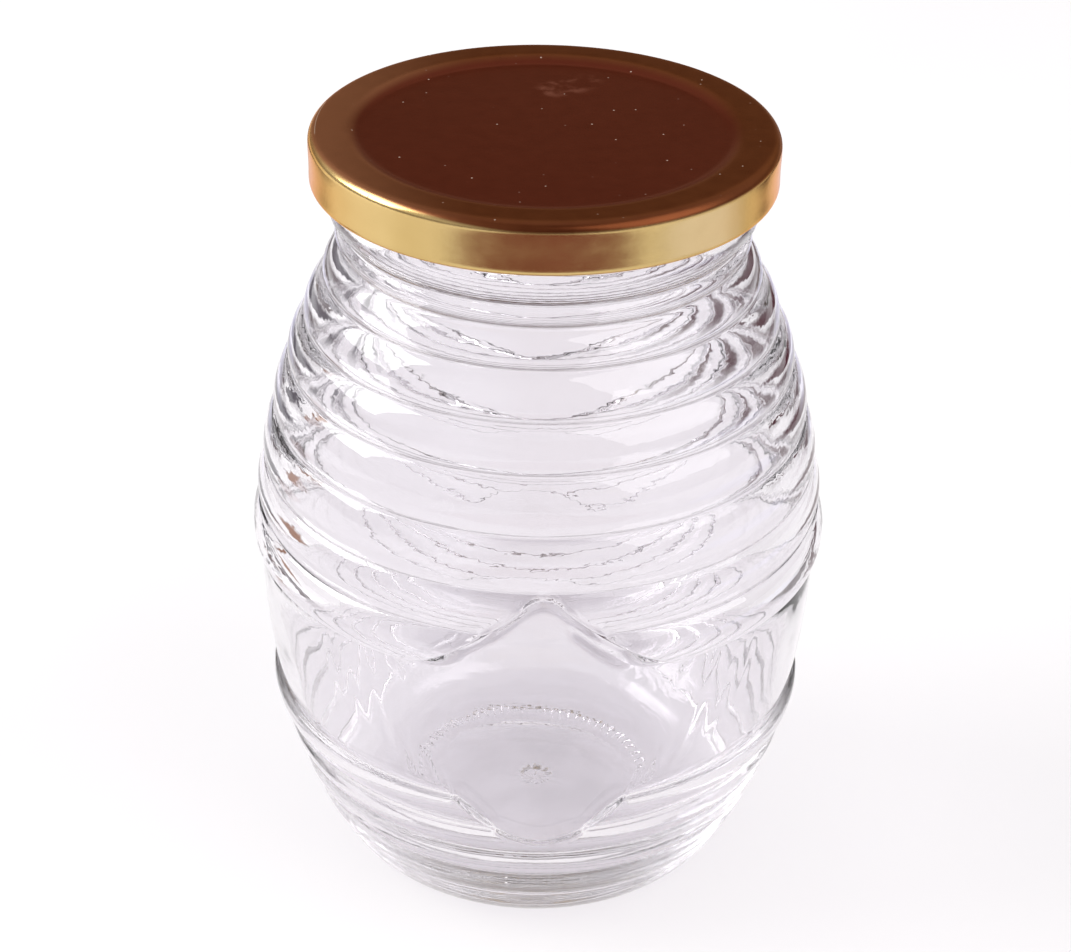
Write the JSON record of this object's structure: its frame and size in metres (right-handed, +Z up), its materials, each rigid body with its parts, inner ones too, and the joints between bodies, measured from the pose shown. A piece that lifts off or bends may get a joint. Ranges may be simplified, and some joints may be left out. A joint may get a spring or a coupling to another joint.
{
  "type": "beehive honey jar",
  "caption": "Empty barrel-shaped clear glass jar with rounded rings, a smooth label band with a pointed arch, and a shallow gold and brown twist-off metal lid, for honey or preserves.",
  "frame": {"origin": "centre of the ring the jar stands on, on the surface it stands on", "axes": "+Z up along the jar's axis, -Y towards the shown side of the label band"},
  "size_m": [0.0872, 0.0848, 0.1195],
  "materials": {
    "clear_glass": "clear, polished, slightly wavy",
    "lid_lacquer": "glossy lacquer, dark red-brown top and gold skirt",
    "sealing_compound": "matte"
  },
  "bodies": {
    "root": {"jar": "clear_glass", "lid": "lid_lacquer", "sealing_ring": "sealing_compound"}
  },
  "joints": []
}
